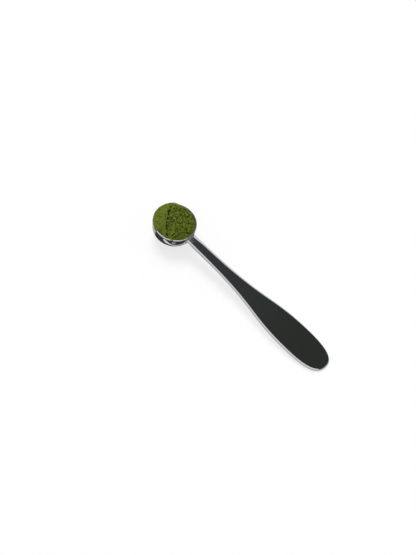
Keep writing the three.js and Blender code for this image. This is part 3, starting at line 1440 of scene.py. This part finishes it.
@dataclass(frozen=True)
class Strip:
    """A glowing strip over the mat that only reflections see, which paints a reflected line on the scoop's
    outside.

    Attributes:
        name: Name of the strip.
        path: Ends and handles of the curve that it follows, in mm about the scoop's axis.
        width: Width of the strip.
        colour: Colour of the strip.
        steps: Facets along it.
    """

    name: str
    path: tuple[tuple[float, float], ...]
    width: float
    colour: Colour
    steps: int = 24

    def mesh(self, foot: Vector) -> Mesh:
        """Draws the strip.

        Args:
            foot: Place that its path is measured from.

        Returns:
            Its mesh.
        """
        ends = [Vector((along * MM, aside * MM, 0.0)) for along, aside in self.path]
        path = interpolate_bezier(*ends, self.steps + 1)
        corners = []
        for step, place in enumerate(path):
            along = path[min(step + 1, self.steps)] - path[max(step - 1, 0)]
            aside = Vector((-along.y, along.x, 0.0)).normalized() * self.width / 2
            corners.extend((foot + place + aside, foot + place - aside))
        return plain_mesh(self.name, corners, grid_faces(len(path), 2))


@dataclass(frozen=True)
class Studio:
    """A white sweep under soft light, with a glowing flag, mat and strips that only the steel mirrors:
    painted reflections.

    Attributes:
        floor_radius: Radius of the floor.
        floor_steps: Facets round the floor.
        floor_colour: Colour of the floor.
        floor_white: Share of plain white that the camera and the steel see in the floor.
        fill: Strength of the even light from all round.
        key_strength: Strength of the main light.
        key_angle: Angle that the main light's source fills.
        key_from: Direction from the spoon to the main light.
        wall_tones: Brightness of the walls, by the rise of the direction to them.
        side_tone: Brightness of the walls at the spoon's ends, as a share of that at its sides.
        near_dimming: How much darker the wall at the -Y side is.
        flag_distance: Distance of the flag over the handle.
        flag_corners: Corners of that flag, along the handle and towards its far side.
        flag_tones: Where the flag's colour starts to change and where it has changed, along the handle.
        flag_scoop_end: Colour of that flag where the scoop's end of the handle mirrors it.
        flag_paddle_end: Colour of that flag where the paddle mirrors it.
        mat_height: Height of the dark mat round the scoop above the floor.
        mat_bands: Radius and opacity of the mat, from under the scoop outwards.
        mat_turns: Heading, in degrees, and opacity of the mat, once round the scoop.
        mat_colour: Colour of the mat.
        mat_steps: Facets round the mat.
        strips: Glowing strips over the mat, which paint reflected lines on the scoop's outside.
        strip_height: Height of those strips above the floor.
    """

    floor_radius: float = 6.0
    floor_steps: int = 96
    floor_colour: float = 0.95
    floor_white: float = 0.72
    fill: float = 0.5
    key_strength: float = 2.0
    key_angle: float = math.radians(35)
    key_from: tuple[float, float, float] = (-0.45, 0.25, 0.86)
    wall_tones: tuple[tuple[float, float], ...] = ((0.0, 0.3), (0.05, 0.34), (0.2, 0.96), (1.0, 1.0))
    side_tone: float = 0.4
    near_dimming: float = 0.4
    flag_distance: float = 0.8
    flag_corners: tuple[tuple[float, float], ...] = (
        (-0.072, -0.08), (0.2, -0.08), (0.75, -0.31), (0.75, 0.7), (0.08, 0.7), (-0.02, 0.08),
        (-1.1, 0.08), (-1.1, -0.7), (-0.6, -0.95), (-0.25, -0.5), (-0.25, 0.014), (-0.1, 0.016),
        (-0.083, 0.022), (-0.0845, 0.012), (-0.0835, 0.003),
    )
    flag_tones: tuple[float, float] = (-0.11, 0.11)
    flag_scoop_end: Colour = (0.058, 0.072, 0.073, 1.0)
    flag_paddle_end: Colour = (0.0385, 0.0455, 0.037, 1.0)
    mat_height: float = 0.2 * MM
    mat_bands: tuple[tuple[float, float], ...] = ((4 * MM, 1.0), (30 * MM, 1.0), (42 * MM, 0.0))
    mat_turns: tuple[tuple[float, float], ...] = (
        (-175, 0.2), (-150, 0.25), (-144, 0.45), (-127, 0.5), (-122, 1.0), (30, 1.0), (75, 0.2),
    )
    mat_colour: Colour = (0.045, 0.05, 0.05, 1.0)
    mat_steps: int = 180
    strips: tuple[Strip, ...] = (
        Strip(
            name="pale_strip", path=((2.5, -24.0), (12.0, -17.0), (12.5, -8.0), (18.5, 1.0)),
            width=2.8 * MM, colour=grey(0.85),
        ),
        Strip(
            name="soft_strip", path=((13.1, -16.8), (14.2, -16.0), (15.4, -14.8), (16.3, -13.6)),
            width=2.2 * MM, colour=grey(0.38),
        ),
    )
    strip_height: float = 0.4 * MM

    def staged(self, mesh: Mesh, material: Material, hidden_from: Iterable[Ray] = ()) -> Piece:
        """Puts a stage piece into the scene.

        Args:
            mesh: Its mesh, in the frame's axes.
            material: Its finish.
            hidden_from: Kinds of ray that don't see it.

        Returns:
            The stage piece.
        """
        mesh.materials.append(material)
        piece = put_in_scene(mesh.name, mesh)
        for ray in hidden_from:
            setattr(piece, ray.value, False)
        return piece

    def floor(self) -> Piece:
        """Lays the floor.

        Returns:
            The floor.
        """
        work = bmesh.new()
        bmesh.ops.create_circle(work, cap_ends=True, segments=self.floor_steps, radius=self.floor_radius)
        mesh = bpy.data.meshes.new("floor")
        work.to_mesh(mesh)
        work.free()
        return self.staged(mesh, self.floor_material())

    def floor_material(self) -> Material:
        """A matt pale floor that shows white where nothing shades it.

        Returns:
            The material.
        """
        material, tree = blank_material("pale_floor")
        paths = add_node(tree, "ShaderNodeLightPath").outputs
        seen = maths(tree, "MAXIMUM", paths["Is Camera Ray"], paths["Is Glossy Ray"])
        share = maths(tree, "MULTIPLY", seen, self.floor_white)
        matt = add_node(tree, "ShaderNodeBsdfDiffuse", {"Color": grey(self.floor_colour)})
        surface_output(tree, mixed(tree, share, matt, glowing(tree, grey(1.0))))
        return material

    def world(self) -> None:
        """Surrounds the spoon with even light, with walls for the steel to mirror, and with plain white."""
        world = bpy.data.worlds.new("studio")
        world.use_nodes = True
        tree = world.node_tree
        tree.nodes.clear()
        paths = add_node(tree, "ShaderNodeLightPath").outputs
        way = add_node(tree, "ShaderNodeTexCoord").outputs["Generated"]
        parts = add_node(tree, "ShaderNodeSeparateXYZ", {0: way}).outputs
        walls = ramp(tree, parts[2], {rise: grey(tone) for rise, tone in self.wall_tones})
        aside = maths(tree, "MULTIPLY", parts[1], parts[1])
        above = maths(tree, "MULTIPLY", parts[2], parts[2])
        open_share = maths(tree, "ADD", aside, above)
        tone = maths(tree, "MULTIPLY_ADD", open_share, 1 - self.side_tone, self.side_tone)
        near = maths(tree, "MINIMUM", parts[1], 0.0)
        dimmed = maths(tree, "MULTIPLY_ADD", near, self.near_dimming, 1.0)
        level = maths(tree, "MULTIPLY", tone, dimmed)
        mirrored = add_node(tree, "ShaderNodeBackground", {"Color": walls, "Strength": level})
        even = add_node(tree, "ShaderNodeBackground", {"Color": grey(1.0), "Strength": self.fill})
        plain = add_node(tree, "ShaderNodeBackground", {"Color": grey(1.0), "Strength": 1.0})
        lit = mixed(tree, paths["Is Glossy Ray"], even, mirrored)
        shown = mixed(tree, paths["Is Camera Ray"], lit, plain)
        add_node(tree, "ShaderNodeOutputWorld", {"Surface": shown.outputs[0]})
        bpy.context.scene.world = world

    def key(self) -> None:
        """Sets up the main light, which the steel doesn't mirror."""
        lamp = bpy.data.lights.new("key", "SUN")
        lamp.energy = self.key_strength
        lamp.angle = self.key_angle
        holder = put_in_scene("key", lamp)
        holder.rotation_euler = Vector(self.key_from).to_track_quat("Z", "Y").to_euler()
        holder.visible_glossy = False

    def flag(self, aim: Vector, out: Vector, along: Vector) -> Piece:
        """Hangs the glowing dark flag whose painted reflection gives the handle's flat top its dark tone.

        Args:
            aim: Middle of what mirrors it.
            out: Direction from there to the flag.
            along: Direction of the handle.

        Returns:
            The flag, which only reflections see.
        """
        length = (along - out * along.dot(out)).normalized()
        turn = Matrix((length, out.cross(length), out)).transposed().to_4x4()
        corners = [(along, aside, 0.0) for along, aside in self.flag_corners]
        mesh = plain_mesh("dark_flag", corners, [tuple(range(len(corners)))])
        mesh.transform(Matrix.Translation(aim + out * self.flag_distance) @ turn)
        start, end = self.flag_tones
        store(mesh, SHADE, [(corner[0] - start) / (end - start) for corner in corners])
        # Glowing colour, seen only in reflections, that paints the dark reflection on the handle's flat top
        material, tree = blank_material("dark_cloth")
        tone = ramp(tree, stored(tree, SHADE), {0.0: self.flag_scoop_end, 1.0: self.flag_paddle_end})
        surface_output(tree, glowing(tree, tone))
        return self.staged(mesh, material, hidden_from=Ray)

    def mat_share(self, angle: float) -> float:
        """Opacity of the mat in a direction, as a share."""
        headings, shares = zip(*self.mat_turns)
        return float(np.interp(math.degrees(angle), headings, shares, period=360))

    def mat(self, centre: Vector) -> Piece:
        """Lays the glowing dark mat whose painted reflection darkens the scoop's outside.

        Args:
            centre: Centre of the scoop's rim.

        Returns:
            The mat, which only reflections see.
        """
        corners, covers = [], []
        for radius, cover in self.mat_bands:
            for step in range(self.mat_steps):
                angle = 2 * math.pi * step / self.mat_steps
                out = Vector((math.cos(angle), math.sin(angle))) * radius
                corners.append((*(centre.to_2d() + out), self.mat_height))
                covers.append(cover * self.mat_share(angle))
        faces = grid_faces(len(self.mat_bands), self.mat_steps, steps_close=True)
        mesh = plain_mesh("dark_mat", corners, faces)
        store(mesh, COVER, covers)
        # Glowing dark colour, seen only in reflections, that paints dark bands on the scoop's outside
        material, tree = blank_material("mat_cloth")
        clear = add_node(tree, "ShaderNodeBsdfTransparent")
        surface_output(tree, mixed(tree, stored(tree, COVER), clear, glowing(tree, self.mat_colour)))
        return self.staged(mesh, material, hidden_from=Ray)

    def strip(self, strip: Strip, centre: Vector) -> Piece:
        """Lays a glowing strip over the mat, which paints a bright reflected line on the scoop's outside.

        Args:
            strip: The strip.
            centre: Centre of the scoop's rim.

        Returns:
            The strip, which only reflections see.
        """
        mesh = strip.mesh(Vector((*centre.to_2d(), self.strip_height)))
        material, tree = blank_material(strip.name)
        # Glowing colour, seen only in reflections, that paints a bright line on the scoop's outside
        surface_output(tree, glowing(tree, strip.colour))
        return self.staged(mesh, material, hidden_from=Ray)


@dataclass(frozen=True)
class Viewpoint:
    """The photograph's viewing angle.

    Attributes:
        azimuth: Heading that the camera stands in, from -Y towards +X.
        elevation: Height of the camera above the horizon, as an angle.
        roll: Turn of the camera about its line of sight.
        aim: Place on the plane of the handle's top that is in the picture's middle, about the rim's centre.
        distance: Distance from there to the camera.
        focal_pixels: Focal length, in pixels of the photograph.
    """

    azimuth: float = math.radians(36.251)
    elevation: float = math.radians(56.416)
    roll: float = math.radians(9.905)
    aim: tuple[float, float, float] = (44.88 * MM, -12.64 * MM, -0.3 * MM)
    distance: float = 808.4 * MM
    focal_pixels: float = 1214.8

    def back(self) -> Vector:
        """Direction from the spoon to the camera.

        Returns:
            A vector of length 1.
        """
        flat = math.cos(self.elevation)
        return Vector((
            math.sin(self.azimuth) * flat, -math.cos(self.azimuth) * flat, math.sin(self.elevation),
        ))

    def build(self, seat: Seat) -> None:
        """Sets up the scene's camera.

        Args:
            seat: Where the spoon lies.
        """
        lens = bpy.data.cameras.new("viewpoint")
        lens.lens = self.focal_pixels / IMAGE_HEIGHT * lens.sensor_width
        camera = put_in_scene("viewpoint", lens)
        back = self.back()
        level = Vector((math.cos(self.azimuth), math.sin(self.azimuth), 0.0))
        right = level * math.cos(self.roll) + back.cross(level) * math.sin(self.roll)
        up = back.cross(right)
        turn = Matrix((right, up, back)).transposed().to_4x4()
        place = seat.matrix() @ Vector(self.aim) + back * self.distance
        camera.matrix_world = Matrix.Translation(place) @ turn
        bpy.context.scene.camera = camera


def main() -> None:
    """Builds the spoon, its serving, the studio and the camera."""
    logging.basicConfig(level=logging.INFO, format="%(name)s: %(message)s")
    bpy.context.scene.view_settings.view_transform = "Standard"
    seat = Seat.of_packed_scoop()
    scoop = Scoop()
    handle = Handle()
    scoop_steel = SteelFinish(
        name="spun_steel", colour=(0.66, 0.645, 0.67, 1.0), grain=Grain.ROUND,
        smoothest=0.02, line_roughness=0.03, haze_roughness=0.03, line_depth=0.0002 * MM,
    )
    handle_steel = SteelFinish(
        name="mirror_steel", colour=(0.605, 0.58, 0.615, 1.0), grain=Grain.LENGTHWISE,
        smoothest=0.02, line_roughness=0.03, haze_roughness=0.03, line_depth=0.00015 * MM,
    )
    weld_steel = SteelFinish(
        name="dressed_weld", colour=(0.27, 0.275, 0.29, 1.0), grain=Grain.ACROSS,
        smoothest=0.34, line_roughness=0.12, haze_roughness=0.06, line_depth=0.0006 * MM,
    )
    pieces = [
        scoop.build(seat, scoop_steel.material(seat)),
        handle.build(scoop, seat, handle_steel.material(seat)),
        Weld().build(scoop, handle, seat, weld_steel.material(seat)),
        *Powder().build(scoop, seat, PowderFinish().material()),
    ]
    view = Viewpoint()
    view.build(seat)
    studio = Studio()
    pieces.append(studio.floor())
    studio.world()
    studio.key()
    middle = seat.matrix() @ Vector((handle.reach / 2, 0.0, -handle.drop))
    along, _, up = seat.matrix().to_3x3().transposed()
    pieces.append(studio.flag(middle, (-view.back()).reflect(up), along))
    pieces.append(studio.mat(seat.centre))
    pieces.extend(studio.strip(strip, seat.centre) for strip in studio.strips)
    for piece in pieces:
        LOG.info("%s: %d faces in %s", piece.name, len(piece.data.polygons), piece.active_material.name)


if __name__ == "__main__":
    main()
